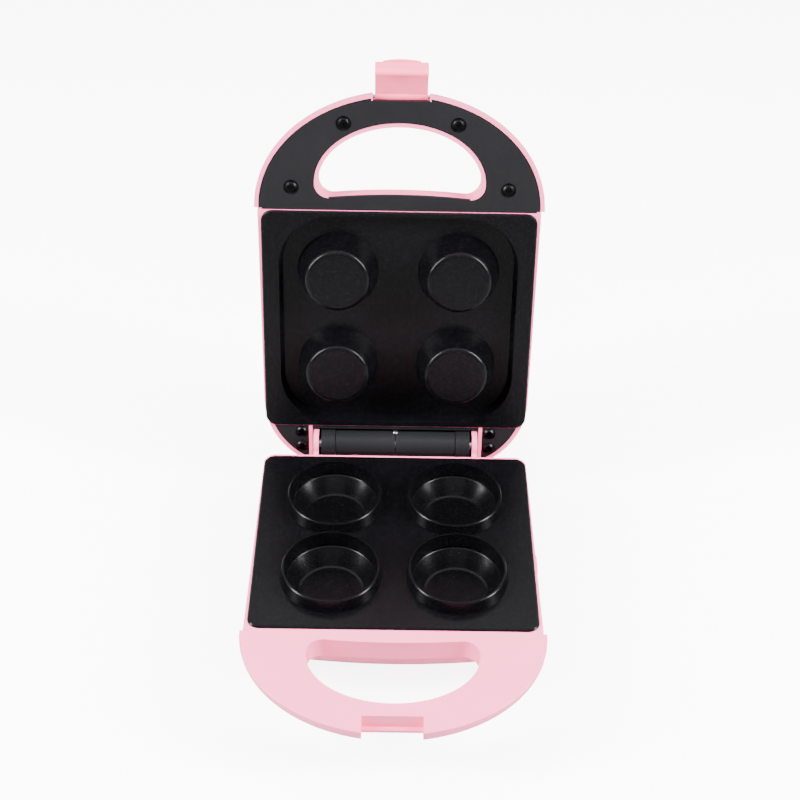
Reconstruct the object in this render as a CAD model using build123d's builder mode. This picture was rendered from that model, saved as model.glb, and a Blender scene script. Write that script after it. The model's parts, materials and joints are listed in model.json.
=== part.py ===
"""Four-cup tart and cupcake maker: a hinged pair of heated plates in a pink housing.

Row frame: millimetres, +Z up, +X to the right, the user stands on the -Y side.
The origin is on the table, midway between the four feet.  The lid is drawn open.

Both halves share one way of measuring, from the hinge axis: x across, s towards the
handle, and n outwards from the plane where the halves meet.  BASE and LID are the
planes that carry (x, s, n), so n is down in the base and away from the plate in the lid.
"""
import os
from math import cos, radians, sin, sqrt

from build123d import *

os.makedirs("parts", exist_ok=True)

# ---------------------------------------------------------------- driving dimensions
open_angle = 102.2         # lid's swing from closed to its stop

# cups of the lower plate and bosses of the upper one
cup_root_radius = 23.5     # outside, where the rim meets the plate
cup_web_x = 5.4            # half the gap between cups, across
cup_web_s = 1.15           # half the gap between cups, along
cup_rim_taper = 1.0        # the rim leans in by this to its lip
cup_rim_height = 5.9
cup_lip = 1.1              # thickness of the lip
cup_ledge_width = 0.9      # the cup narrows by this down to its ledge
cup_ledge_depth = 2.0      # below the plate face
cup_floor_step = 7.8       # the floor's radius is this much under the rim's
cup_floor_depth = 10.2     # below the plate face
cup_wall = 2.0
crimps = 14                # short notches round each cup's ledge
crimp_width = 5.0
crimp_height = 1.4
boss_root_step = 2.9       # boss radius at its root, under the cup rim's
boss_tip_step = 0.2        # boss radius at its tip, over the cup floor's
boss_reach = 7.8           # beyond the upper plate's face
boss_round = 2.4
boss_wall = 2.2
panel_side = 8.0           # flat margin beside the upper plate's recessed panel
panel_end = 2.4            # and before and behind it
panel_corner = 25.5
panel_depth = 6.3
panel_draft = 15.0

# plates
plate_corner = 5.5
plate_proud = 1.0          # plate face above the rim
plate_thickness = 2.5
plate_bevel = 0.6
mouth_margin = 1.1         # the plate's flange laps the rim by this
mouth_gap = 0.2            # between the plate's body and the mouth

# heating
heater_radius = 2.8
heater_side_gap = 2.1      # from the cups' rims to the element's centre line, across
heater_end_gap = 1.05      # and along
heater_corner = 20.0
heater_ends = 14.0         # half the gap between the element's two ends
terminal_inset = 3.0       # terminal pins stand this far in from the ends
terminal_radius = 1.9
terminal_hole = 2.6
pan_side_gap = 4.5         # from the element's centre line to the pan's edge, across
pan_end_gap = 4.3          # and along
pan_sheet = 0.8
pan_drop = 1.6             # air between the pan and what it covers
thermostat_radius = 8.0
thermostat_height = 7.0
thermostat_blades = 2.0
fuse_radius = 1.9
fuse_length = 16.0
block_half = 13.0          # terminal block
block_length = 10.0
block_height = 7.0
block_rear_gap = 22.0      # from the base's rear wall

# housings, both halves
parting = 1.2              # rims stand this far back from the meeting plane
wall = 2.4
roof = 2.2                 # thickness of the pink handle top
spring_room = 3.8          # between the reflector pan and the side wall
service_gap = 1.6          # under the thermostat's blades
gland_room = 2.6           # between the pan and the rear wall
rear_rim = 0.2             # rim beyond the plate's sides, at the rear
side_flare = 1.3           # the body is wider at the shoulder by this, each side
rear_edge = 1.6            # rim behind the plates
front_edge = 7.2           # rim from the plates to the bowed front wall, at its middle
front_bow = 340.0          # radius of that bow
edge_round = 18.0          # rounding between the side walls and the outer face
corner_round = 22.0        # front corners of the body, in plan
base_rear_round = 6.0
lid_overhang = 5.25        # lid beyond the hinge trough
lid_rear_round = 38.0      # its corners, in plan
seam = 8.2                 # n where the base's two mouldings meet
cover_thickness = 2.0
cover_inset = 2.0          # pink rim left round the black covers
cover_gap = 0.15           # all round each cover

# handles
shoulder_step = 1.1        # the handle's half ellipse starts this far beyond the plates
handle_side = 1.5          # the handle is wider than the body by this, each side
handle_reach = 56.0
handle_depth = 11.7        # n of the handle's outer face
handle_round = 9.5
grip_offset = 12.5         # centre of the finger opening's ellipse, beyond the shoulder
grip_side_band = 30.0      # handle left beside the opening
grip_nose_band = 16.5      # and in front of it
grip_corner = 7.5
cover_grip_margin = 2.0    # the black cover's opening is larger by this at the front
side_screw_out = 12.5      # side screws, outside the opening
side_screw_back = 2.3      # and behind its ellipse's centre
nose_screw_in = 11.8       # nose screws, inside the opening's side
nose_screw_back = 0.9      # and behind the middle of the handle's band

# hinge
bush_radius = 6.75
bush_step = 0.35           # the barrel is smaller than its end bushes by this
bush_length = 7.0
bush_gap = 0.2
hinge_inset = 26.8         # ears stand this far in from the body's sides
end_gap = 1.2              # between the barrel's end and the ear
ear_thickness = 2.6
ear_step = 0.25            # the ear's radius over the bush's
pin_radius = 2.0
pin_seat_gap = 0.02
pin_running_gap = 0.05
hinge_clearance = 1.25     # between the bushes and the base's rear wall
cheek_gap = 0.8            # between an ear and the lid's cheek beside it
cheek_thickness = 1.8
divider_thickness = 1.4    # rib of the lid between the plate and the hinge
trough_drop = 2.25         # from the bushes to the trough's floor
trough_rear_gap = 1.5
trough_wall = 1.5
trough_gap = 0.08          # between the trough and the inside of the lid's rounding
barrel_seam = 0.15         # half the gap between the barrel's two halves
rivet_radius = 1.3
rivet_proud = 0.7
rivet_depth = 1.2          # metal left between the rivet and the pin
hinge_screw_out = 3.6      # screws of the hinge covers, beyond the cheek
hinge_screw_back = 3.7     # and behind the rib
hinge_screw_pitch = 8.2

# latch
latch_width = 24.0
notch_side_gap = 1.0
base_notch_depth = 9.8     # from the handle's nose to the base notch's inner wall
lid_notch_depth = 5.5
latch_pivot_depth = 3.3    # from the handle's nose
latch_pivot_n = 5.4
latch_pin_radius = 0.9
latch_pin_gap = 0.01
knuckle_radius = 1.9
latch_arm_inner = 0.7      # arm's inner face, from the pivot
latch_arm_thickness = 3.0
latch_hook_nose = 5.4
latch_hook_thickness = 2.3
latch_tab = 1.5            # bulge of the thumb tab
latch_tab_half = 8.5
latch_tab_depth = 3.0
catch_reach = 2.1          # ledge in the base notch
catch_thickness = 1.4
latch_gap = 0.2
latch_lean = 20.0          # forward of the lid's plane, as it stands when open

# feet, screws and small pieces
stand_off = 9.0            # table to the base's flat underside
foot_radius = 6.2
foot_height = 4.5
foot_seat_gap = 0.15
foot_socket = 1.5
foot_post_wall = 1.2
foot_side_inset = 17.2     # feet, in from the base's side
foot_rear_inset = 8.5
foot_front_inset = 17.1
screw_head_radius = 2.6
screw_head_height = 1.6
screw_head_round = 0.7
screw_shank_radius = 1.4
screw_hole_gap = 0.2
screw_slot_width = 0.6
screw_slot_length = 2.4
screw_slot_depth = 0.8
screw_length = 7.5
screw_sink = 0.6           # heads sit this far below the covers' faces
recess_depth = 1.0
recess_gap = 1.0           # round a screw head
hinge_recess_gap = 0.5     # less, clear of the hinge covers' edges
boss_screw_wall = 2.0      # round the screws, inside the mouldings
button_front = 12.5        # release button, from the plates' middle
button_rise = 3.2          # above the seam
button_length = 10.0
button_height = 3.6
button_gap = 0.15
button_proud = 0.8
button_travel = 2.0
button_flange = 1.0
button_lap = 1.2           # flange beyond the button's ends
spring_half = 7.0
spring_strip = 0.4
spring_width = 3.0
spring_seat = 0.1
gland_side_inset = 18.2
gland_drop = 0.5           # inlet's axis below the open lid's rear edge
gland_radius = 4.6
gland_lip = 0.9            # its collar, inside the wall
gland_collar_length = 1.6
gland_snout = 13.0
cord_bore_radius = 2.7
clip_inset = 25.0          # clips, in from the plates' sides
clip_half = 4.0
clip_strip = 0.7
clip_depth = 6.0
lens_x = 9.0
lens_front = 7.6           # lenses, behind the lid's front rounding
lens_radius = 3.2
lens_proud = 0.9
lens_flange = 0.8
lamp_radius = 1.9
lamp_length = 5.2

# ---------------------------------------------------------------- derived places
both_sides = (-1, 1)
cup_x = cup_web_x + cup_root_radius
cup_s = cup_web_s + cup_root_radius
heater_half = cup_x + cup_root_radius + heater_side_gap
heater_half_length = cup_s + cup_root_radius + heater_end_gap
pan_half = heater_half + pan_side_gap
pan_half_length = heater_half_length + pan_end_gap
body_rear_half = pan_half + spring_room + wall
body_front_half = body_rear_half + side_flare
plate_width = 2 * (body_rear_half - rear_rim)

base_rear = bush_radius + hinge_clearance
plate_rear = base_rear + rear_edge
plate_mid = base_rear + wall + gland_room + pan_half_length
plate_length = 2 * (plate_mid - plate_rear)
plate_front = plate_rear + plate_length
body_front = plate_front + front_edge
cup_centres = [(sx * cup_x, plate_mid + ss * cup_s) for ss in both_sides for sx in both_sides]

plate_face = parting - plate_proud
plate_back = plate_face + plate_thickness
cup_rim_radius = cup_root_radius - cup_rim_taper
cup_mouth_radius = cup_rim_radius - cup_lip
cup_ledge_radius = cup_mouth_radius - cup_ledge_width
cup_floor_radius = cup_rim_radius - cup_floor_step
cup_lip_top = plate_face - cup_rim_height
cup_ledge = plate_face + cup_ledge_depth
cup_floor = plate_face + cup_floor_depth
cup_under = cup_floor + cup_wall
panel_half = plate_width / 2 - panel_side
panel_length = plate_length - 2 * panel_end
panel_face = plate_face + panel_depth
upper_back = panel_face + boss_wall
boss_root_radius = cup_rim_radius - boss_root_step
boss_tip_radius = cup_floor_radius + boss_tip_step
boss_tip = plate_face - boss_reach
mouth_half = plate_width / 2 - mouth_margin
mouth_rear = plate_rear + mouth_margin
mouth_front = plate_front - mouth_margin
mouth_corner = plate_corner - mouth_margin

lower_heater_n = plate_back + heater_radius
upper_heater_n = upper_back + heater_radius
lower_pan_bottom = cup_under + pan_drop
upper_pan_bottom = upper_heater_n + heater_radius + pan_drop
thermostat_end = lower_pan_bottom + thermostat_height
terminal_x = heater_ends + terminal_inset
floor_face = thermostat_end + thermostat_blades + service_gap
body_depth = floor_face + wall
hinge_height = body_depth + stand_off
foot_seat = hinge_height - foot_height
cover_recess = parting + cover_thickness
under_roof = parting + roof

shoulder = plate_front + shoulder_step
handle_half = body_front_half + handle_side
handle_nose = shoulder + handle_reach
handle_edge = min(handle_round, handle_depth - parting - 1)
grip_centre = shoulder + grip_offset
grip_half = handle_half - grip_side_band
grip_reach = handle_nose - grip_nose_band - grip_centre

barrel_radius = bush_radius - bush_step
ear_radius = bush_radius + ear_step
ear_inner = body_rear_half - hinge_inset
barrel_half = ear_inner - end_gap
bush_inner = barrel_half - bush_length
cheek_inner = ear_inner + ear_thickness + cheek_gap
cheek_outer = cheek_inner + cheek_thickness
divider_front = mouth_rear
divider_rear = mouth_rear - divider_thickness
trough_floor = bush_radius + trough_drop
trough_back = trough_floor + trough_wall
trough_half = cheek_inner - cover_gap
trough_front = divider_rear - cover_gap
trough_rear = -(bush_radius + trough_rear_gap)
lid_rear = trough_rear - trough_wall - lid_overhang

base_notch = handle_nose - base_notch_depth
lid_notch = handle_nose - lid_notch_depth
latch_pivot_s = handle_nose - latch_pivot_depth
notch_half = latch_width / 2 + notch_side_gap
catch_tip = base_notch + catch_reach
catch_face = seam + catch_thickness
hook_reach = latch_pivot_n + catch_face + latch_gap
latch_end = hook_reach + latch_hook_thickness

screw_recess_radius = screw_head_radius + recess_gap
hinge_recess_radius = screw_head_radius + hinge_recess_gap
screw_hole_radius = screw_shank_radius + screw_hole_gap
boss_radius = screw_shank_radius + boss_screw_wall
foot_x = body_rear_half - foot_side_inset
foot_rear = base_rear + foot_rear_inset
foot_front = body_front - foot_front_inset
foot_post_radius = foot_radius + foot_post_wall
foot_sites = [(sx * foot_x, s) for s in (foot_rear, foot_front) for sx in both_sides]
button_s = plate_mid + button_front
button_n = seam - button_rise
gland_x = body_rear_half - gland_side_inset
gland_collar = gland_radius + gland_lip
gland_inner = -wall - gland_collar_length
gland_n = gland_drop - lid_rear
clip_x = plate_width / 2 - clip_inset
lens_s = body_front - edge_round - lens_front
lens_sites = [(side * lens_x, lens_s) for side in both_sides]

hinge_y = (foot_rear + foot_front) / 2
tilt = radians(open_angle)
hinge_point = (0, hinge_y, hinge_height)
BASE = Plane(origin=hinge_point, x_dir=(1, 0, 0), z_dir=(0, 0, -1))
LID = Plane(origin=hinge_point, x_dir=(-1, 0, 0), z_dir=(0, sin(tilt), cos(tilt)))


def bow(x):
    """s of the bowed front wall at x."""
    return body_front - front_bow + sqrt(front_bow**2 - x**2)


def band_middle(x):
    """s midway between the finger opening and the handle's edge, in front, at x."""
    outer = shoulder + handle_reach * sqrt(1 - (x / handle_half) ** 2)
    inner = grip_centre + grip_reach * sqrt(1 - (x / grip_half) ** 2)
    return (outer + inner) / 2


def depth_axis(half):
    return Axis(half.origin, half.z_dir)


def length_axis(half):
    return Axis(half.origin, half.y_dir)


def side_of(half):
    """Plane square to the hinge axis that carries (s, n) of one half."""
    return Plane(origin=half.origin, x_dir=half.y_dir, z_dir=half.y_dir.cross(half.z_dir))


def upright(half, x, s):
    """Plane through (x, s) that carries (radius, n), for pieces turned about n."""
    point = half.from_local_coords((x, s, 0))
    return Plane(origin=point, x_dir=half.x_dir, z_dir=half.x_dir.cross(half.z_dir))


# ---------------------------------------------------------------- plans shared by both halves
def body_plan(rear, rear_corner, front_corner, grow=0.0):
    """Plan of a housing's body: slightly tapered sides and a bowed front."""
    rear_x = body_rear_half + grow
    front_x = body_front_half + grow
    shoulder_s = bow(body_front_half) + grow
    with BuildSketch() as plan:
        with BuildLine():
            back = Line((-rear_x, rear - grow), (rear_x, rear - grow))
            right = Line(back @ 1, (front_x, shoulder_s))
            front = ThreePointArc(right @ 1, (0, body_front + grow), (-front_x, shoulder_s))
            Line(front @ 1, back @ 0)
        make_face()
        if rear_corner:
            fillet(plan.vertices().sort_by(Axis.Y)[:2], rear_corner + grow)
        if front_corner:
            fillet(plan.vertices().sort_by(Axis.Y)[-2:], front_corner + grow)
    return plan.sketch


def handle_plan(grow=0.0):
    """Half ellipse from the shoulder to the nose."""
    with BuildSketch() as plan:
        with BuildLine():
            nose = EllipticalCenterArc((0, shoulder), handle_half + grow, handle_reach + grow,
                                       start_angle=0, arc_size=180)
            Line(nose @ 1, nose @ 0)
        make_face()
    return plan.sketch


def grip_plan(grow=0.0, rear_grow=0.0):
    """Finger opening: a half ellipse in front, the body's bow behind, rounded corners."""
    half_width = grip_half + grow
    rear_s = bow(half_width) - rear_grow
    with BuildSketch() as plan:
        with BuildLine():
            front = EllipticalCenterArc((0, grip_centre), half_width, grip_reach + grow,
                                        start_angle=0, arc_size=180)
            left = Line(front @ 1, (-half_width, rear_s))
            back = ThreePointArc(left @ 1, (0, body_front - rear_grow), (half_width, rear_s))
            Line(back @ 1, front @ 0)
        make_face()
        fillet(plan.vertices().sort_by(Axis.Y)[:2], min(grip_corner, 0.85 * (grip_centre - rear_s)))
    return plan.sketch


def box_plan(half_width, rear, front, corner=0.0):
    """Rectangle about x = 0 between two values of s."""
    with BuildSketch() as plan:
        with Locations((0, (rear + front) / 2)):
            if corner:
                RectangleRounded(2 * half_width, front - rear, corner)
            else:
                Rectangle(2 * half_width, front - rear)
    return plan.sketch


def slab(half, plan, top, bottom, taper=0.0):
    """A plan thickened from depth top to depth bottom."""
    with BuildPart() as piece:
        with BuildSketch(half.offset(top)):
            add(plan)
        extrude(amount=bottom - top, taper=taper)
    return piece.part


def turned(half, x, s, profile):
    """Solid of revolution about n through (x, s); profile is (radius, n) corners."""
    section = upright(half, x, s)
    with BuildPart() as piece:
        with BuildSketch(section):
            with BuildLine():
                Polyline(*profile, close=True)
            make_face()
        revolve(axis=Axis(section.origin, half.z_dir))
    return piece.part


def rod(plane, length, radius, start=0.0):
    """Round bar along a plane's normal."""
    with BuildPart() as piece:
        with BuildSketch(plane.offset(start)):
            Circle(radius)
        extrude(amount=length)
    return piece.part


# ---------------------------------------------------------------- housing blocks
def body_block(half, rear, rear_corner, grow=0.0, top=parting):
    """Outside of one body, or its hollow when grow is negative."""
    with BuildPart() as block:
        with BuildSketch(half.offset(top)):
            add(body_plan(rear, rear_corner, corner_round, grow))
        extrude(amount=body_depth + grow - top)
        rim = block.edges().group_by(depth_axis(half))[-1]
        if rear_corner:
            fillet(rim, edge_round + grow)
        else:
            fillet(rim.sort_by(length_axis(half))[1:], edge_round + grow)
            back = block.faces().sort_by(length_axis(half))[0]
            fillet(back.edges().sort_by(depth_axis(half))[1:], base_rear_round + grow)
    return block.part


def handle_block(half, grow=0.0):
    """Outside of one handle, or its hollow when grow is negative."""
    with BuildPart() as block:
        with BuildSketch(half.offset(parting)):
            add(handle_plan(grow))
        extrude(amount=handle_depth + grow - parting)
        nose = block.edges().group_by(depth_axis(half))[-1].sort_by(length_axis(half))[-1]
        fillet(nose, handle_edge + grow)
    return block.part


def housing(half, rear, rear_corner, notch_wall):
    """Closed outer form of one half: body, shoulder band and handle."""
    with BuildPart() as form:
        add(body_block(half, rear, rear_corner))
        add(slab(half, body_plan(rear, rear_corner or base_rear_round, 1.0), parting, seam))
        add(handle_block(half))
        add(slab(half, grip_plan(), 0, handle_depth + 1), mode=Mode.SUBTRACT)
        notch = box_plan(notch_half, notch_wall, handle_nose + 10)
        add(slab(half, notch, 0, handle_depth + 1), mode=Mode.SUBTRACT)
    return form.part


def handle_hollow(half, top, notch_wall):
    """Room inside a handle, clear of the grip's lining, the notch and the body."""
    with BuildPart() as room:
        add(handle_block(half, -wall))
        split(bisect_by=half.offset(top), keep=Keep.TOP)
        add(slab(half, grip_plan(wall, wall), top - 1, handle_depth), mode=Mode.SUBTRACT)
        notch = box_plan(notch_half + wall, notch_wall - wall, handle_nose + 10)
        add(slab(half, notch, top - 1, handle_depth), mode=Mode.SUBTRACT)
        body = body_plan(base_rear, base_rear_round, 1.0)
        add(slab(half, body, top - 1, handle_depth), mode=Mode.SUBTRACT)
    return room.part


def save(piece, name):
    piece.part.label = name
    export_step(piece.part, f"parts/{name}.step")


def screw(half, x, s, head_top, end):
    """Cross-recess pan screw about n, from its head's top to its point."""
    step = 1 if end > head_top else -1
    under = head_top + step * screw_head_height
    crown = head_top + step * screw_head_round
    profile = [(0, head_top), (screw_head_radius - screw_head_round, head_top), (screw_head_radius, crown),
               (screw_head_radius, under), (screw_shank_radius, under), (screw_shank_radius, end), (0, end)]
    with BuildPart() as piece:
        add(turned(half, x, s, profile))
        with BuildSketch(half.offset(head_top)):
            with Locations((x, s)):
                Rectangle(screw_slot_length, screw_slot_width)
                Rectangle(screw_slot_width, screw_slot_length)
        extrude(amount=step * screw_slot_depth, mode=Mode.SUBTRACT)
    return piece.part


# ================================================================ base mouldings
base_form = housing(BASE, base_rear, 0, base_notch)
base_body_hollow = body_block(BASE, base_rear, 0, -wall, under_roof)
base_handle_hollow = handle_hollow(BASE, under_roof, base_notch)
nose_screw_x = grip_half - nose_screw_in
handle_screws = [(grip_half + side_screw_out, grip_centre - side_screw_back),
                 (nose_screw_x, band_middle(nose_screw_x) - nose_screw_back)]
handle_screw_sites = [(side * x, s) for x, s in handle_screws for side in both_sides]
side_slope = side_flare / (bow(body_front_half) - base_rear)
button_x = body_rear_half + side_slope * (button_s - base_rear)
BUTTON = Plane(origin=BASE.from_local_coords((button_x, button_s, button_n)), x_dir=(0, -1, 0),
               z_dir=(1, 0, 0))
GLAND_WALL = Plane(origin=BASE.from_local_coords((-gland_x, base_rear, gland_n)), x_dir=(1, 0, 0),
                   z_dir=(0, 1, 0))
GLAND = Plane(origin=GLAND_WALL.origin, x_dir=(1, 0, 0), z_dir=(0, 0, -1))
boss_start = under_roof - 0.5
screw_point = under_roof + 0.4

# Top moulding: handle top, rim round the plate, button slot and the two hinge ears.
with BuildPart() as base_frame:
    add(base_form)
    split(bisect_by=BASE.offset(seam), keep=Keep.BOTTOM)
    add(base_body_hollow, mode=Mode.SUBTRACT)
    add(base_handle_hollow, mode=Mode.SUBTRACT)
    mouth = box_plan(mouth_half, mouth_rear, mouth_front, mouth_corner)
    add(slab(BASE, mouth, 0, under_roof + 1), mode=Mode.SUBTRACT)
    for x, s in handle_screw_sites:
        add(turned(BASE, x, s, [(screw_shank_radius, boss_start), (boss_radius, boss_start),
                                (boss_radius, seam), (screw_shank_radius, seam)]))
    for side in both_sides:
        ear_start = ear_inner if side > 0 else -ear_inner - ear_thickness
        with BuildSketch(side_of(BASE).offset(ear_start)):
            Circle(ear_radius)
            with BuildLine():
                Polyline((0, -ear_radius), (base_rear - 1.5, -1.0), (base_rear + 0.6, parting + 0.4),
                         (base_rear + 0.6, seam), (base_rear, seam), (0, ear_radius), close=True)
            make_face()
        extrude(amount=ear_thickness)
    with BuildSketch(side_of(BASE)):
        Circle(pin_radius + pin_seat_gap)
    extrude(amount=ear_inner + ear_thickness + 1, both=True, mode=Mode.SUBTRACT)
    with BuildSketch(BUTTON.offset(-wall - 2)):
        Rectangle(button_length + 2 * button_gap, button_height + 2 * button_gap)
    extrude(amount=wall + 4, mode=Mode.SUBTRACT)
    fillet(base_frame.edges().filter_by(GeomType.ELLIPSE).group_by(Axis.Z)[-1], 0.5)
save(base_frame, "base_frame")

# Lower moulding: tub, handle underside with its latch ledge, foot posts, cord inlet.
with BuildPart() as base_shell:
    add(base_form)
    split(bisect_by=BASE.offset(seam), keep=Keep.TOP)
    add(base_body_hollow, mode=Mode.SUBTRACT)
    add(base_handle_hollow, mode=Mode.SUBTRACT)
    ledge = box_plan(notch_half + 0.5, base_notch - 0.5, catch_tip)
    add(slab(BASE, ledge, seam, catch_face))
    for x, s in foot_sites:
        add(turned(BASE, x, s, [(0, floor_face), (foot_post_radius, floor_face),
                                (foot_post_radius, foot_seat + foot_socket),
                                (foot_radius + foot_seat_gap, foot_seat + foot_socket),
                                (foot_radius + foot_seat_gap, foot_seat), (0, foot_seat)]))
    post_radius = screw_recess_radius + foot_post_wall
    post_end = handle_depth - recess_depth
    for x, s in handle_screw_sites:
        add(turned(BASE, x, s, [(screw_hole_radius, seam), (post_radius, seam), (post_radius, post_end),
                                (screw_hole_radius, post_end)]))
    with BuildSketch(BASE.offset(seam - 1)):
        with Locations(*handle_screw_sites):
            Circle(screw_hole_radius)
    extrude(amount=handle_depth, mode=Mode.SUBTRACT)
    with BuildSketch(BASE.offset(handle_depth - screw_sink + 0.2 - screw_head_height)):
        with Locations(*handle_screw_sites):
            Circle(screw_recess_radius)
    extrude(amount=4, mode=Mode.SUBTRACT)
    with BuildSketch(GLAND_WALL.offset(-wall - 2)):
        Circle(gland_radius)
    extrude(amount=wall + 4, mode=Mode.SUBTRACT)
    with BuildSketch(GLAND_WALL.offset(gland_inner)):
        Circle(gland_collar)
    extrude(amount=gland_collar_length, mode=Mode.SUBTRACT)
save(base_shell, "base_shell")

# Cord inlet: flanged bush with a tapered snout, through the rear wall.
gland_flange = gland_radius + 1.4
gland_profile = [(cord_bore_radius, gland_inner), (gland_collar, gland_inner), (gland_collar, -wall),
                 (gland_radius, -wall), (gland_radius, 0), (gland_flange, 0), (gland_flange, 1.4),
                 (gland_radius - 0.2, 2.0), (cord_bore_radius + 0.9, gland_snout),
                 (cord_bore_radius, gland_snout)]
with BuildPart() as cord_gland:
    with BuildSketch(GLAND):
        with BuildLine():
            Polyline(*[(radius, -along) for radius, along in gland_profile], close=True)
        make_face()
    revolve(axis=Axis(GLAND.origin, (0, 1, 0)))
save(cord_gland, "cord_gland")

with BuildPart() as rubber_feet:
    for x, s in foot_sites:
        add(turned(BASE, x, s, [(0, foot_seat), (foot_radius, foot_seat), (foot_radius, hinge_height - 0.8),
                                (foot_radius - 0.8, hinge_height), (0, hinge_height)]))
save(rubber_feet, "rubber_feet")

with BuildPart() as base_screws:
    for x, s in handle_screw_sites:
        add(screw(BASE, x, s, handle_depth - screw_sink + 0.2, screw_point))
save(base_screws, "base_screws")

# ================================================================ release button on the base's right side
button_root = wall + 0.2
with BuildPart() as release_button:
    with BuildSketch(BUTTON.offset(-button_root)):
        Rectangle(button_length, button_height)
    extrude(amount=button_root + button_proud)
    fillet(release_button.edges().group_by(Axis.X)[-1], 0.6)
    with BuildSketch(BUTTON.offset(-button_root - button_flange)):
        Rectangle(button_length + 2 * button_lap, button_height + button_lap / 2)
    extrude(amount=button_flange)
save(release_button, "release_button")

# Leaf spring behind the button: a bowed strip on two feet against the reflector pan.
leaf_x = button_x - button_root - button_flange - button_travel - 0.3
seat_x = pan_half + spring_seat
spring_inner = spring_half - 2 * spring_strip
with BuildPart() as release_spring:
    with BuildSketch(BASE.offset(button_n - spring_width / 2)):
        with BuildLine():
            outer = ThreePointArc((seat_x, button_s - spring_half), (leaf_x, button_s),
                                  (seat_x, button_s + spring_half))
            Line(outer @ 1, (seat_x, button_s + spring_inner))
            inner = ThreePointArc((seat_x, button_s + spring_inner), (leaf_x - spring_strip, button_s),
                                  (seat_x, button_s - spring_inner))
            Line(inner @ 1, outer @ 0)
        make_face()
    extrude(amount=spring_width)
save(release_spring, "release_spring")


# ================================================================ plates
def plate_blank(half, bottom):
    """Flange that laps the rim, with a bevelled edge, and the body that fills the mouth."""
    body_half = mouth_half - mouth_gap
    with BuildPart() as blank:
        flange = box_plan(plate_width / 2, plate_rear, plate_front, plate_corner)
        add(slab(half, flange, plate_face, parting))
        chamfer(blank.edges().group_by(depth_axis(half))[0], plate_bevel)
        body = box_plan(body_half, mouth_rear + mouth_gap, mouth_front - mouth_gap, mouth_corner)
        add(slab(half, body, parting, bottom))
    return blank.part


def cup_form(x, s):
    """Rim above the plate and bowl below it, before the cup is hollowed."""
    overlap = plate_face + 0.1
    with BuildPart() as form:
        add(turned(BASE, x, s, [(0, overlap), (cup_root_radius, overlap), (cup_root_radius, plate_face),
                                (cup_rim_radius, cup_lip_top + 0.4), (cup_rim_radius - 0.4, cup_lip_top),
                                (0, cup_lip_top)]))
        add(turned(BASE, x, s, [(0, overlap), (cup_rim_radius, overlap),
                                (cup_rim_radius - 0.3, cup_ledge + 1),
                                (cup_floor_radius + cup_wall, cup_under - 0.6),
                                (cup_floor_radius + cup_wall - 1, cup_under), (0, cup_under)]))
    return form.part


def cup_hollow(x, s):
    """Inside of a cup: mouth, ledge, tapered wall and a floor with a rounded edge."""
    return turned(BASE, x, s, [(0, cup_lip_top - 1), (cup_mouth_radius, cup_lip_top - 1),
                               (cup_mouth_radius, cup_lip_top), (cup_ledge_radius, cup_ledge),
                               (cup_ledge_radius - 0.4, cup_ledge + 0.3),
                               (cup_floor_radius + 1.1, cup_floor - 1.3),
                               (cup_floor_radius + 0.45, cup_floor - 0.35),
                               (cup_floor_radius - 0.6, cup_floor), (0, cup_floor)])


def boss_form(x, s):
    """Tapered boss of the upper plate, with a rounded tip."""
    with BuildPart() as boss:
        add(turned(LID, x, s, [(0, upper_back), (boss_root_radius, upper_back),
                               (boss_root_radius, panel_face), (boss_tip_radius, boss_tip), (0, boss_tip)]))
        fillet(boss.edges().group_by(depth_axis(LID))[0], boss_round)
    return boss.part


def boss_hollow(x, s):
    """Room inside a boss, open at the plate's back."""
    root = boss_root_radius - boss_wall
    return turned(LID, x, s, [(0, upper_back + 1), (root, upper_back + 1), (root, panel_face),
                              (boss_tip_radius - boss_wall, boss_tip + boss_wall), (0, boss_tip + boss_wall)])


with BuildPart() as lower_plate:
    add(plate_blank(BASE, plate_back))
    for x, s in cup_centres:
        add(cup_form(x, s))
        add(cup_hollow(x, s), mode=Mode.SUBTRACT)
        with BuildSketch(BASE.offset(cup_ledge - crimp_height)):
            with Locations((x, s)):
                with PolarLocations(cup_ledge_radius - 0.2, crimps):
                    Rectangle(1.4, crimp_width)
        extrude(amount=crimp_height, mode=Mode.SUBTRACT)
save(lower_plate, "lower_plate")

panel_rear = plate_mid - panel_length / 2
panel_front = plate_mid + panel_length / 2
with BuildPart() as upper_plate:
    add(plate_blank(LID, plate_back))
    tray_back = box_plan(panel_half + 1.5, panel_rear + 0.2, panel_front - 0.2, panel_corner + 1)
    add(slab(LID, tray_back, plate_back - 0.5, upper_back))
    panel = box_plan(panel_half, panel_rear, panel_front, panel_corner)
    add(slab(LID, panel, plate_face, panel_face, taper=panel_draft), mode=Mode.SUBTRACT)
    for x, s in cup_centres:
        add(boss_form(x, s))
        add(boss_hollow(x, s), mode=Mode.SUBTRACT)
save(upper_plate, "upper_plate")


# ================================================================ heating elements and reflector pans
def heater_loop(half, n):
    """Tubular element: a loop round the cups, open at the rear, ends turned outwards."""
    rear, front = plate_mid - heater_half_length, plate_mid + heater_half_length
    centre = half.offset(n)
    points = [(-heater_ends, rear), (-heater_half, rear), (-heater_half, front), (heater_half, front),
              (heater_half, rear), (heater_ends, rear)]
    with BuildPart() as loop:
        with BuildLine(centre) as path:
            FilletPolyline(*points, radius=heater_corner)
        with BuildSketch(Plane(origin=path.line @ 0, z_dir=path.line % 0)):
            Circle(heater_radius)
        sweep()
        collar = n + heater_radius + 0.4
        for side in both_sides:
            pin = [(0, n), (terminal_radius, n), (terminal_radius, collar), (terminal_radius - 0.6, collar),
                   (terminal_radius - 0.6, collar + 4.1), (0, collar + 4.1)]
            add(turned(half, side * terminal_x, rear, pin))
    return loop


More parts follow.
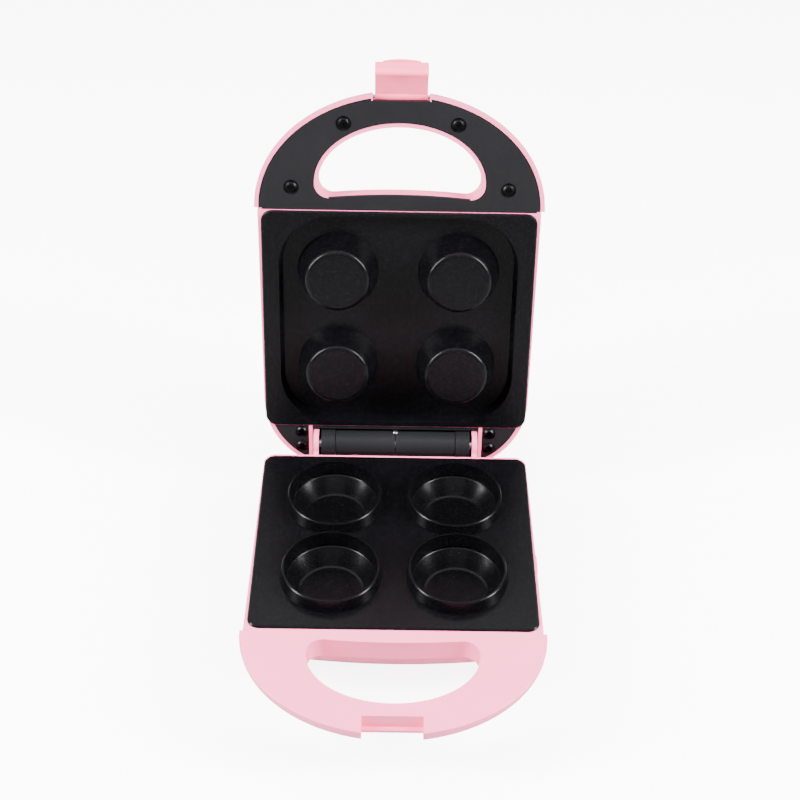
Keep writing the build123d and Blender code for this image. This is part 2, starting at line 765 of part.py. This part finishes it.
def reflector(half, top, bottom):
    """Sheet pan behind an element, with holes for the element's two terminals."""
    rear, front = plate_mid - pan_half_length, plate_mid + pan_half_length
    corner = heater_corner + 2
    with BuildPart() as pan:
        add(slab(half, box_plan(pan_half, rear, front, corner), top, bottom))
        inside = box_plan(pan_half - pan_sheet, rear + pan_sheet, front - pan_sheet, corner - pan_sheet)
        add(slab(half, inside, top - 1, bottom - pan_sheet), mode=Mode.SUBTRACT)
        with BuildSketch(half.offset(top)):
            with Locations(*[(side * terminal_x, plate_mid - heater_half_length) for side in both_sides]):
                Circle(terminal_hole)
        extrude(amount=bottom - top + 1, mode=Mode.SUBTRACT)
    return pan


lower_heater = heater_loop(BASE, lower_heater_n)
save(lower_heater, "lower_heater")
upper_heater = heater_loop(LID, upper_heater_n)
save(upper_heater, "upper_heater")
lower_reflector = reflector(BASE, plate_back + 0.8, lower_pan_bottom)
save(lower_reflector, "lower_reflector")
upper_reflector = reflector(LID, upper_back, upper_pan_bottom)
save(upper_reflector, "upper_reflector")

# Thermostat and fuse sit on the pans' backs, the terminal block on the base's floor.
can_radius = thermostat_radius - 1.5
flange_end = lower_pan_bottom + 1.2
with BuildPart() as thermostat:
    add(turned(BASE, 0, plate_mid, [(0, lower_pan_bottom), (thermostat_radius, lower_pan_bottom),
                                    (thermostat_radius, flange_end), (can_radius, flange_end),
                                    (can_radius, thermostat_end), (0, thermostat_end)]))
    with BuildSketch(BASE.offset(thermostat_end)):
        with Locations(*[(side * can_radius / 2, plate_mid) for side in both_sides]):
            Rectangle(0.8, 4.5)
    extrude(amount=thermostat_blades)
save(thermostat, "thermostat")

with BuildPart() as thermal_fuse:
    for radius, length in ((fuse_radius, fuse_length), (0.5, 1.5 * fuse_length)):
        with BuildSketch(side_of(LID).offset(-length / 2)):
            with Locations((plate_mid, upper_pan_bottom + fuse_radius)):
                Circle(radius)
        extrude(amount=length)
save(thermal_fuse, "thermal_fuse")

block_rear = base_rear + block_rear_gap
block_top = floor_face - block_height
with BuildPart() as terminal_block:
    block_plan = box_plan(block_half, block_rear, block_rear + block_length, 1.5)
    add(slab(BASE, block_plan, block_top, floor_face))
    with BuildSketch(BASE.offset(block_top)):
        with Locations(*[(x, block_rear + block_length / 2) for x in (-8, 0, 8)]):
            Circle(2)
    extrude(amount=4, mode=Mode.SUBTRACT)
save(terminal_block, "terminal_block")


# ================================================================ lid
lid_form = housing(LID, lid_rear, lid_rear_round, lid_notch)
lid_body_hollow = body_block(LID, lid_rear, lid_rear_round, -wall, cover_recess)
lid_handle_hollow = handle_hollow(LID, cover_recess, lid_notch)
cover_notch = lid_notch + 1.1
far = 2 * handle_nose


def handle_cover_plan(inset, grip_grow, notch_s):
    """Crescent between the plate and the nose, round the finger opening."""
    with BuildSketch() as plan:
        add(handle_plan(-inset))
        add(box_plan(body_front_half - inset, plate_front + inset - 1.7, shoulder + 0.5))
        add(grip_plan(grip_grow, -0.6 * grip_grow / cover_grip_margin), mode=Mode.SUBTRACT)
        add(box_plan(notch_half + 0.6, notch_s, far), mode=Mode.SUBTRACT)
    return plan.sketch


def behind_plate_plan(inset, front):
    """Lid's outline, in by inset, behind a given s."""
    with BuildSketch() as plan:
        add(body_plan(lid_rear, lid_rear_round, 0, -inset))
        add(box_plan(far, front, far), mode=Mode.SUBTRACT)
    return plan.sketch


def hinge_cover_plan(inset):
    """The two corners beside the hinge."""
    with BuildSketch() as plan:
        add(behind_plate_plan(inset, divider_rear - inset + cover_inset))
        add(box_plan(cheek_outer + inset - cover_inset, -far, far), mode=Mode.SUBTRACT)
    return plan.sketch


hinge_screw_x = cheek_outer + hinge_screw_out
hinge_screw_s = divider_rear - hinge_screw_back
hinge_screw_sites = [(side * hinge_screw_x, s) for s in (hinge_screw_s, hinge_screw_s - hinge_screw_pitch)
                     for side in both_sides]

# Ribs inside the lid: one behind the plate, two cheeks beside the hinge ears.
with BuildPart() as lid_ribs:
    with BuildSketch(LID.offset(parting)):
        add(box_plan(body_front_half, divider_rear, divider_front))
        with Locations(*[(side * (cheek_inner + cheek_thickness / 2), (lid_rear + divider_rear) / 2)
                         for side in both_sides]):
            Rectangle(cheek_thickness, divider_rear - lid_rear)
    extrude(amount=floor_face - wall - parting - 4.2)
    add(body_block(LID, lid_rear, lid_rear_round, -wall / 2, 0), mode=Mode.INTERSECT)

boss_end = handle_depth - wall + 0.5
with BuildPart() as lid_shell:
    add(lid_form)
    add(lid_body_hollow, mode=Mode.SUBTRACT)
    add(lid_handle_hollow, mode=Mode.SUBTRACT)
    mouth = box_plan(mouth_half, mouth_rear, mouth_front, mouth_corner)
    add(slab(LID, mouth, 0, cover_recess + 1), mode=Mode.SUBTRACT)
    crescent = handle_cover_plan(cover_inset, cover_grip_margin - cover_gap, cover_notch)
    add(slab(LID, crescent, 0, cover_recess), mode=Mode.SUBTRACT)
    add(slab(LID, behind_plate_plan(cover_inset, divider_rear), 0, cover_recess), mode=Mode.SUBTRACT)
    add(lid_ribs.part)
    for x, s in handle_screw_sites:
        add(turned(LID, x, s, [(screw_shank_radius, cover_recess), (boss_radius, cover_recess),
                               (boss_radius, boss_end), (screw_shank_radius, boss_end)]))
    for x, s in hinge_screw_sites:
        add(turned(LID, x, s, [(screw_shank_radius, cover_recess), (boss_radius + 0.6, cover_recess),
                               (boss_radius + 0.6, handle_depth), (screw_shank_radius, handle_depth)]))
    with BuildSketch(LID.offset(cover_recess)):
        with Locations(*handle_screw_sites, *hinge_screw_sites):
            Circle(screw_shank_radius)
    extrude(amount=screw_length - cover_thickness, mode=Mode.SUBTRACT)
    with BuildSketch(LID.offset(floor_face - 1)):
        with Locations(*lens_sites):
            Circle(lens_radius)
    extrude(amount=wall + 3, mode=Mode.SUBTRACT)
    with BuildSketch(side_of(LID)):
        with Locations((latch_pivot_s, latch_pivot_n)):
            Circle(latch_pin_radius)
    extrude(amount=notch_half + 2, both=True, mode=Mode.SUBTRACT)
save(lid_shell, "lid_shell")


# Black covers, flush in the lid's rims, with sunk screws.
def sunk_cover(plan, sites, recess_radius):
    """Cover of a given plan with a recess and a hole for each screw."""
    with BuildPart() as cover:
        add(slab(LID, plan, parting, cover_recess))
        with BuildSketch(LID.offset(parting)):
            with Locations(*sites):
                Circle(recess_radius)
        extrude(amount=recess_depth, mode=Mode.SUBTRACT)
        with BuildSketch(LID.offset(parting)):
            with Locations(*sites):
                Circle(screw_hole_radius)
        extrude(amount=cover_thickness, mode=Mode.SUBTRACT)
    return cover


crescent = handle_cover_plan(cover_inset + cover_gap, cover_grip_margin, cover_notch + cover_gap)
lid_handle_cover = sunk_cover(crescent, handle_screw_sites, screw_recess_radius)
save(lid_handle_cover, "lid_handle_cover")
corners = hinge_cover_plan(cover_inset + cover_gap)
hinge_covers = sunk_cover(corners, hinge_screw_sites, hinge_recess_radius)
save(hinge_covers, "hinge_covers")

screw_top = parting + recess_depth - screw_head_height
with BuildPart() as handle_cover_screws:
    for x, s in handle_screw_sites:
        add(screw(LID, x, s, screw_top, screw_top + screw_length))
save(handle_cover_screws, "handle_cover_screws")
with BuildPart() as hinge_cover_screws:
    for x, s in hinge_screw_sites:
        add(screw(LID, x, s, screw_top, screw_top + screw_length))
save(hinge_cover_screws, "hinge_cover_screws")

# ================================================================ hinge
lip_end = lid_rear + cover_inset + cover_gap
inner_round = edge_round - wall
past_round_start = max(0, trough_back - (body_depth - edge_round))
trough_rounding = inner_round - sqrt(inner_round**2 - past_round_start**2)
with BuildPart() as hinge_trough:
    with BuildSketch(side_of(LID)):
        with BuildLine():
            Polyline((trough_front, parting), (trough_front, trough_back),
                     (trough_rear - trough_wall, trough_back), (trough_rear - trough_wall, cover_recess),
                     (lip_end, cover_recess), (lip_end, parting), (trough_rear, parting),
                     (trough_rear, trough_floor), (trough_front - trough_wall, trough_floor),
                     (trough_front - trough_wall, parting), close=True)
        make_face()
    extrude(amount=trough_half, both=True)
    inside_lid = body_plan(lid_rear, lid_rear_round, 0, -wall - trough_gap - trough_rounding)
    add(slab(LID, inside_lid, 0, trough_floor + 5), mode=Mode.INTERSECT)
save(hinge_trough, "hinge_trough")


def barrel_piece(start, end, radius):
    """Length of the hinge barrel with its web to the trough's floor."""
    with BuildPart() as piece:
        with BuildSketch(side_of(LID).offset(start)):
            Circle(radius)
            with Locations((0, trough_floor / 2)):
                Rectangle(radius, trough_floor)
        extrude(amount=end - start)
        with BuildSketch(side_of(LID).offset(start)):
            Circle(pin_radius + pin_running_gap)
        extrude(amount=end - start, mode=Mode.SUBTRACT)
    return piece.part


rivet_start = pin_radius + rivet_depth
RIVET = Plane(origin=LID.origin, x_dir=LID.x_dir, z_dir=LID.y_dir)
with BuildPart() as barrel_rivet:
    with BuildSketch(RIVET.offset(rivet_start)):
        Circle(rivet_radius)
    extrude(amount=barrel_radius + rivet_proud - rivet_start)
    fillet(barrel_rivet.edges().group_by(length_axis(LID))[-1], 0.5)
save(barrel_rivet, "barrel_rivet")

rivet_hole = rod(RIVET, barrel_radius, rivet_radius, rivet_start)
barrel_end = bush_inner - bush_gap
for name, start, end in (("hinge_barrel_left", barrel_seam, barrel_end),
                         ("hinge_barrel_right", -barrel_end, -barrel_seam)):
    with BuildPart() as drilled_barrel:
        add(barrel_piece(start, end, barrel_radius))
        add(rivet_hole, mode=Mode.SUBTRACT)
    save(drilled_barrel, name)

with BuildPart() as barrel_bushes:
    add(barrel_piece(bush_inner, barrel_half, bush_radius))
    add(barrel_piece(-barrel_half, -bush_inner, bush_radius))
save(barrel_bushes, "barrel_bushes")

with BuildPart() as hinge_pin:
    with BuildSketch(side_of(BASE)):
        Circle(pin_radius)
    extrude(amount=ear_inner + ear_thickness, both=True)
    chamfer(hinge_pin.edges().filter_by(GeomType.CIRCLE), 0.4)
save(hinge_pin, "hinge_pin")


# ================================================================ plate clips, lamps and lenses
def plate_clips(half, rear_face):
    """Sprung hooks under a plate's front edge and plain hooks under its rear edge."""
    top = under_roof + 0.1
    foot = top + clip_depth
    bend = foot - clip_strip
    front_face = bow(clip_x + clip_half) - wall - 0.3
    strip_front = mouth_front + 0.1
    hook = strip_front - 1.1
    front = [(hook, top), (strip_front + clip_strip, top), (strip_front + clip_strip, bend),
             (front_face, bend), (front_face, foot), (strip_front, foot), (strip_front, top + clip_strip),
             (hook, top + clip_strip)]
    strip_end = rear_face + clip_strip
    rear = [(rear_face, top), (strip_end + 1.0, top), (strip_end + 1.0, top + clip_strip),
            (strip_end, top + clip_strip), (strip_end, foot), (rear_face, foot)]
    with BuildPart() as clips:
        for side in both_sides:
            for outline in (front, rear):
                with BuildSketch(side_of(half).offset(side * clip_x - clip_half)):
                    with BuildLine():
                        Polyline(*outline, close=True)
                    make_face()
                extrude(amount=2 * clip_half)
    return clips


lower_clips = plate_clips(BASE, base_rear + wall)
save(lower_clips, "lower_plate_clips")
upper_clips = plate_clips(LID, divider_front)
save(upper_clips, "upper_plate_clips")

# Indicator lenses: domed caps on flanged plugs, through the lid's outer wall, with a lamp behind each.
lens_inner = floor_face - lens_flange
cap_radius = lens_radius - 0.1
for name, (x, s) in zip(("power_lens", "ready_lens"), lens_sites):
    with BuildPart() as lens_cap:
        add(turned(LID, x, s, [(0, lens_inner), (lens_radius + 1, lens_inner), (lens_radius + 1, floor_face),
                               (cap_radius, floor_face), (cap_radius, body_depth + 0.3),
                               (cap_radius - 0.8, body_depth + 0.75),
                               (cap_radius - 2, body_depth + lens_proud), (0, body_depth + lens_proud)]))
    save(lens_cap, name)

lamp_end = lens_inner - lamp_length
with BuildPart() as indicator_lamps:
    for x, s in lens_sites:
        add(turned(LID, x, s, [(0, lens_inner), (lamp_radius, lens_inner), (lamp_radius, lamp_end + 1.2),
                               (lamp_radius - 1, lamp_end), (0, lamp_end)]))
save(indicator_lamps, "indicator_lamps")


# ================================================================ latch, drawn standing open
pivot = LID.from_local_coords((0, latch_pivot_s, latch_pivot_n))
lean = radians(latch_lean)
arm_dir = LID.y_dir * cos(lean) - LID.z_dir * sin(lean)
inner_dir = LID.y_dir * -sin(lean) - LID.z_dir * cos(lean)
LATCH = Plane(origin=pivot, x_dir=arm_dir, z_dir=arm_dir.cross(inner_dir))
arm_outer = latch_arm_inner - latch_arm_thickness
TAB = Plane(origin=LATCH.from_local_coords((latch_end, arm_outer, 0)), x_dir=LATCH.z_dir, z_dir=LATCH.x_dir)
with BuildPart() as latch:
    with BuildSketch(LATCH):
        with BuildLine():
            Polyline((0, -knuckle_radius), (1.5, arm_outer), (latch_end - 0.8, arm_outer),
                     (latch_end, arm_outer + 0.8), (latch_end, latch_hook_nose - 2.0),
                     (latch_end - 1.0, latch_hook_nose - 0.4), (hook_reach + 0.6, latch_hook_nose),
                     (hook_reach, latch_hook_nose), (hook_reach, latch_arm_inner + 0.8),
                     (hook_reach - 0.8, latch_arm_inner), (knuckle_radius + 0.3, latch_arm_inner),
                     (knuckle_radius - 0.2, latch_arm_inner + 0.1), (0, knuckle_radius), close=True)
        make_face()
        Circle(knuckle_radius)
    extrude(amount=latch_width / 2, both=True)
    with BuildSketch(TAB):
        with BuildLine():
            flat = Line((-latch_tab_half, 0), (latch_tab_half, 0))
            ThreePointArc(flat @ 1, (0, latch_tab), flat @ 0)
        make_face()
    extrude(amount=-latch_tab_depth)
    with BuildSketch(LATCH):
        Circle(latch_pin_radius + pin_running_gap)
    extrude(amount=latch_width, both=True, mode=Mode.SUBTRACT)
save(latch, "latch")

with BuildPart() as latch_pin:
    with BuildSketch(side_of(LID)):
        with Locations((latch_pivot_s, latch_pivot_n)):
            Circle(latch_pin_radius - latch_pin_gap)
    extrude(amount=notch_half + 1.9, both=True)
save(latch_pin, "latch_pin")
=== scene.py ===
"""Looks of the four-cup tart maker: materials, light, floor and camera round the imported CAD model."""
import json
from math import cos, sin

import bpy
from mathutils import Matrix, Vector


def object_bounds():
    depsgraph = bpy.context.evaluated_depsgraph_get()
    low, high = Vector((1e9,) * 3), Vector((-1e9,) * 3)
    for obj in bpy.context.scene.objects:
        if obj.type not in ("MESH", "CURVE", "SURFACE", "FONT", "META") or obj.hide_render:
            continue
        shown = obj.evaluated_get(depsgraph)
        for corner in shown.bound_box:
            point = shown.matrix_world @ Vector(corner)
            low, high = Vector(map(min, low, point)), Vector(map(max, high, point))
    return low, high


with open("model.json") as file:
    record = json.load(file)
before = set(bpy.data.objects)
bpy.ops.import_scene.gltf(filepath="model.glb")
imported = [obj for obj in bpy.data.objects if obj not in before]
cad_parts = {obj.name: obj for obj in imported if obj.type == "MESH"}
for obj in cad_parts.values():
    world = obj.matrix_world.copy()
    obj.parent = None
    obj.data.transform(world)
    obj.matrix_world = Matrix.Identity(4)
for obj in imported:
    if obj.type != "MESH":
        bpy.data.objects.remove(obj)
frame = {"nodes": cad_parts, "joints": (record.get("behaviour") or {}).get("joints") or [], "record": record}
cad_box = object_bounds()
nodes = frame["nodes"]
joints = {joint["name"]: joint for joint in frame["joints"]}
MM = 0.001
COLOUR_A, COLOUR_B, COLOUR_RESULT = 6, 7, 2      # a Mix node's colour sockets


# ---------------------------------------------------------------- node building blocks
# Each takes the material or world that owns the nodes.
def new_material(name, **settings):
    """Principled material; settings are plain numbers or colours on the shader's own sockets."""
    material = bpy.data.materials.new(name)
    material.use_nodes = True
    shader = material.node_tree.nodes["Principled BSDF"]
    for socket, value in settings.items():
        shader.inputs[socket.replace("_", " ")].default_value = value
    return material, shader


def add_node(owner, kind, **values):
    """New node; values go to its inputs of that name, or else to its own settings."""
    node = owner.node_tree.nodes.new(kind)
    for key, value in values.items():
        if key in node.inputs:
            node.inputs[key].default_value = value
        else:
            setattr(node, key, value)
    return node


def link(owner, start, end):
    owner.node_tree.links.new(start, end)


def noise(material, scale, detail=3.0, roughness=0.55):
    """Noise in object space, whose scale is in features per metre."""
    place = add_node(material, "ShaderNodeTexCoord")
    texture = add_node(material, "ShaderNodeTexNoise", Scale=scale, Detail=detail, Roughness=roughness)
    link(material, place.outputs["Object"], texture.inputs["Vector"])
    return texture.outputs["Fac"]


def ramp(material, source, stops):
    """Colour ramp over a value; stops are (place, colour)."""
    node = add_node(material, "ShaderNodeValToRGB")
    while len(node.color_ramp.elements) < len(stops):
        node.color_ramp.elements.new(0.5)
    for element, (place, colour) in zip(node.color_ramp.elements, stops):
        element.position = place
        element.color = (*colour, 1.0)
    link(material, source, node.inputs["Fac"])
    return node.outputs["Color"]


def span(owner, source, low, high):
    """Maps a 0 to 1 value to low to high."""
    node = add_node(owner, "ShaderNodeMapRange")
    node.inputs["To Min"].default_value = low
    node.inputs["To Max"].default_value = high
    link(owner, source, node.inputs["Value"])
    return node.outputs["Result"]


def bump(material, shader, source, distance, strength=1.0):
    """Relief of a given depth in metres, added after any relief the shader has."""
    node = add_node(material, "ShaderNodeBump", Distance=distance, Strength=strength)
    link(material, source, node.inputs["Height"])
    before = shader.inputs["Normal"].links
    if before:
        link(material, before[0].from_socket, node.inputs["Normal"])
    link(material, node.outputs["Normal"], shader.inputs["Normal"])


def seen_by_camera(owner):
    """1 for what the camera sees, 0 for what lights and reflects in the object."""
    return add_node(owner, "ShaderNodeLightPath").outputs["Is Camera Ray"]


def shade(colour, factor):
    return tuple(min(1.0, channel * factor) for channel in colour)


# ---------------------------------------------------------------- materials
def moulded_plastic(name, colour, roughness, grain=2600.0, grain_depth=0.000012, mottle=0.02, sheen=0.5):
    """Injection-moulded plastic: faint mottling, slow gloss changes and a fine orange peel."""
    material, shader = new_material(name, IOR=1.5, Specular_IOR_Level=sheen)
    slow = noise(material, 38.0)
    gloss = noise(material, 160.0)
    tones = [(0.3, shade(colour, 1 - mottle)), (0.7, shade(colour, 1 + mottle))]
    link(material, ramp(material, slow, tones), shader.inputs["Base Color"])
    link(material, span(material, gloss, roughness - 0.04, roughness + 0.05), shader.inputs["Roughness"])
    bump(material, shader, noise(material, grain, detail=2.0), grain_depth)
    bump(material, shader, slow, 0.00006)
    return material


def non_stick(name):
    """Sprayed non-stick coat: near-black, fine pale flecks, a slightly pebbled satin face."""
    material, shader = new_material(name, IOR=1.45, Specular_IOR_Level=0.11)
    fleck = noise(material, 3600.0, detail=1.0)
    tones = [(0.50, (0.0012, 0.0012, 0.0016)), (0.66, (0.0020, 0.0020, 0.0026)), (0.74, (0.026, 0.026, 0.030))]
    link(material, ramp(material, fleck, tones), shader.inputs["Base Color"])
    link(material, span(material, noise(material, 900.0), 0.20, 0.29), shader.inputs["Roughness"])
    bump(material, shader, noise(material, 2400.0, detail=2.0), 0.000022)
    return material


def worn_metal(name, colour, roughness, streak=900.0):
    """Drawn or rolled metal: fine streaks in colour and gloss."""
    material, shader = new_material(name, Metallic=1.0)
    streaks = noise(material, streak, detail=4.0)
    tones = [(0.3, shade(colour, 0.82)), (0.7, colour)]
    link(material, ramp(material, streaks, tones), shader.inputs["Base Color"])
    link(material, span(material, streaks, roughness - 0.07, roughness + 0.1), shader.inputs["Roughness"])
    bump(material, shader, streaks, 0.000008)
    return material


def rubber(name, colour):
    """Matt moulded rubber with a dusty bloom."""
    material, shader = new_material(name, IOR=1.5)
    bloom = noise(material, 420.0, detail=5.0)
    tones = [(0.35, colour), (0.75, shade(colour, 1.6))]
    link(material, ramp(material, bloom, tones), shader.inputs["Base Color"])
    link(material, span(material, bloom, 0.62, 0.80), shader.inputs["Roughness"])
    bump(material, shader, bloom, 0.00004)
    return material


def tinted_lens(name, colour):
    """Translucent coloured plastic, with a faint grain from the mould."""
    material, shader = new_material(name, IOR=1.49, Transmission_Weight=0.35)
    cloud = noise(material, 700.0)
    tones = [(0.3, shade(colour, 0.8)), (0.7, colour)]
    link(material, ramp(material, cloud, tones), shader.inputs["Base Color"])
    link(material, span(material, cloud, 0.12, 0.22), shader.inputs["Roughness"])
    return material


PINK = (0.95, 0.172, 0.345)
LATCH_PINK = (1.0, 0.135, 0.26)
looks = {
    "pink_housing": moulded_plastic("pink_abs", PINK, 0.34),
    "pink_latch": moulded_plastic("latch_pink_abs", LATCH_PINK, 0.36),
    "black_cover": moulded_plastic("black_phenolic", (0.0088, 0.0088, 0.0100), 0.44, grain=3400.0,
                                   grain_depth=0.00003, mottle=0.08, sheen=0.09),
    "nonstick": non_stick("non_stick_coat"),
    "black_steel": worn_metal("blackened_steel", (0.010, 0.010, 0.011), 0.30),
    "steel": worn_metal("bright_steel", (0.60, 0.60, 0.61), 0.28),
    "element": worn_metal("element_sheath", (0.22, 0.21, 0.20), 0.40),
    "pan": worn_metal("pan_aluminium", (0.80, 0.80, 0.81), 0.25, streak=500.0),
    "ceramic": moulded_plastic("white_ceramic", (0.80, 0.78, 0.72), 0.30),
    "foot_rubber": rubber("foot_rubber", (0.022, 0.022, 0.023)),
    "gland_black": rubber("gland_rubber", (0.018, 0.018, 0.019)),
    "red_lens": tinted_lens("red_lens_plastic", (0.72, 0.03, 0.02)),
    "green_lens": tinted_lens("green_lens_plastic", (0.05, 0.50, 0.10)),
    "lamp_glass": tinted_lens("lamp_glass", (0.85, 0.80, 0.74)),
}
for subpart in frame["record"]["subparts"]:
    mesh = nodes[subpart["node"]].data
    mesh.materials.clear()
    mesh.materials.append(looks[subpart["material_slot"]])


# ---------------------------------------------------------------- camera
CAMERA_OFFSET = Vector((-3.4, -564.7, 496.6)) * MM     # from the middle of the hinge axis
CAMERA_YAW, CAMERA_PITCH, CAMERA_ROLL = 0.009383, 0.691876, 0.021396     # radians
FOCAL_LENGTH = 66.96                                   # millimetres, as is the sensor
SENSOR_WIDTH = 36.0

hinge = Vector(joints["lid_hinge"]["pos_m"])
camera_data = bpy.data.cameras.new("camera")
camera = bpy.data.objects.new("camera", camera_data)
bpy.context.scene.collection.objects.link(camera)
camera_data.lens = FOCAL_LENGTH
camera_data.sensor_width = SENSOR_WIDTH
forward = Vector((sin(CAMERA_YAW) * cos(CAMERA_PITCH), cos(CAMERA_YAW) * cos(CAMERA_PITCH), -sin(CAMERA_PITCH)))
level_right = Vector((cos(CAMERA_YAW), -sin(CAMERA_YAW), 0.0))
level_up = level_right.cross(forward)
right = level_right * cos(CAMERA_ROLL) + level_up * sin(CAMERA_ROLL)
up = level_up * cos(CAMERA_ROLL) - level_right * sin(CAMERA_ROLL)
turn = Matrix((right, up, -forward)).transposed().to_4x4()
camera.matrix_world = Matrix.Translation(hinge + CAMERA_OFFSET) @ turn
bpy.context.scene.camera = camera


# ---------------------------------------------------------------- floor and light
# The floor and the sky are a white sweep to the camera, and dimmer to the object,
# so that its walls and undersides keep their shade.
WHITE = (1.0, 1.0, 1.0, 1.0)
FLOOR_REACH = 6.0
FLOOR_TONES = [(0.3, (0.93, 0.93, 0.93)), (0.7, (0.96, 0.96, 0.96))]
FLOOR_BOUNCE = (0.42, 0.42, 0.42, 1.0)
FLOOR_GLOW = (0.2, 6.0)              # to the object, to the camera
SKY_STRENGTH = (0.5, 9.0)
STRIP_SIZE, STRIP_POWER = (0.20, 0.70), 40
CEILING_SIZE, CEILING_POWER = (3.4, 3.4), 120
FILL_SIZE, FILL_POWER = (1.8, 0.6), 6


def stage_floor():
    mesh = bpy.data.meshes.new("floor")
    corners = [(-FLOOR_REACH, -FLOOR_REACH, 0), (FLOOR_REACH, -FLOOR_REACH, 0),
               (FLOOR_REACH, FLOOR_REACH, 0), (-FLOOR_REACH, FLOOR_REACH, 0)]
    mesh.from_pydata(corners, [], [(0, 1, 2, 3)])
    floor = bpy.data.objects.new("floor", mesh)
    bpy.context.scene.collection.objects.link(floor)
    material, shader = new_material("floor_white", Roughness=0.85, Specular_IOR_Level=0.15,
                                    Emission_Color=WHITE)
    seen = seen_by_camera(material)
    link(material, span(material, seen, *FLOOR_GLOW), shader.inputs["Emission Strength"])
    blend = add_node(material, "ShaderNodeMix", data_type="RGBA")
    link(material, seen, blend.inputs["Factor"])
    blend.inputs[COLOUR_A].default_value = FLOOR_BOUNCE
    link(material, ramp(material, noise(material, 3.0), FLOOR_TONES), blend.inputs[COLOUR_B])
    link(material, blend.outputs[COLOUR_RESULT], shader.inputs["Base Color"])
    mesh.materials.append(material)


def softbox(name, place, target, size, power):
    data = bpy.data.lights.new(name, "AREA")
    data.shape = "RECTANGLE"
    data.size, data.size_y = size
    data.energy = power
    lamp = bpy.data.objects.new(name, data)
    bpy.context.scene.collection.objects.link(lamp)
    lamp.location = place
    lamp.rotation_euler = (Vector(target) - Vector(place)).to_track_quat("-Z", "Y").to_euler()


def studio_sky():
    world = bpy.data.worlds.new("studio")
    world.use_nodes = True
    sky = world.node_tree.nodes["Background"]
    sky.inputs["Color"].default_value = WHITE
    link(world, span(world, seen_by_camera(world), *SKY_STRENGTH), sky.inputs["Strength"])
    bpy.context.scene.world = world


stage_floor()
middle = Vector([(low + high) / 2 for low, high in zip(*cad_box)])
softbox("ceiling_softbox", (0.0, 0.4, 2.2), (0.0, 0.4, 0.0), CEILING_SIZE, CEILING_POWER)
softbox("left_strip", (-0.85, -0.20, 0.62), middle, STRIP_SIZE, STRIP_POWER)
softbox("right_strip", (0.85, -0.20, 0.62), middle, STRIP_SIZE, STRIP_POWER)
softbox("front_fill", (0.0, -1.7, 1.0), middle, FILL_SIZE, FILL_POWER)
studio_sky()
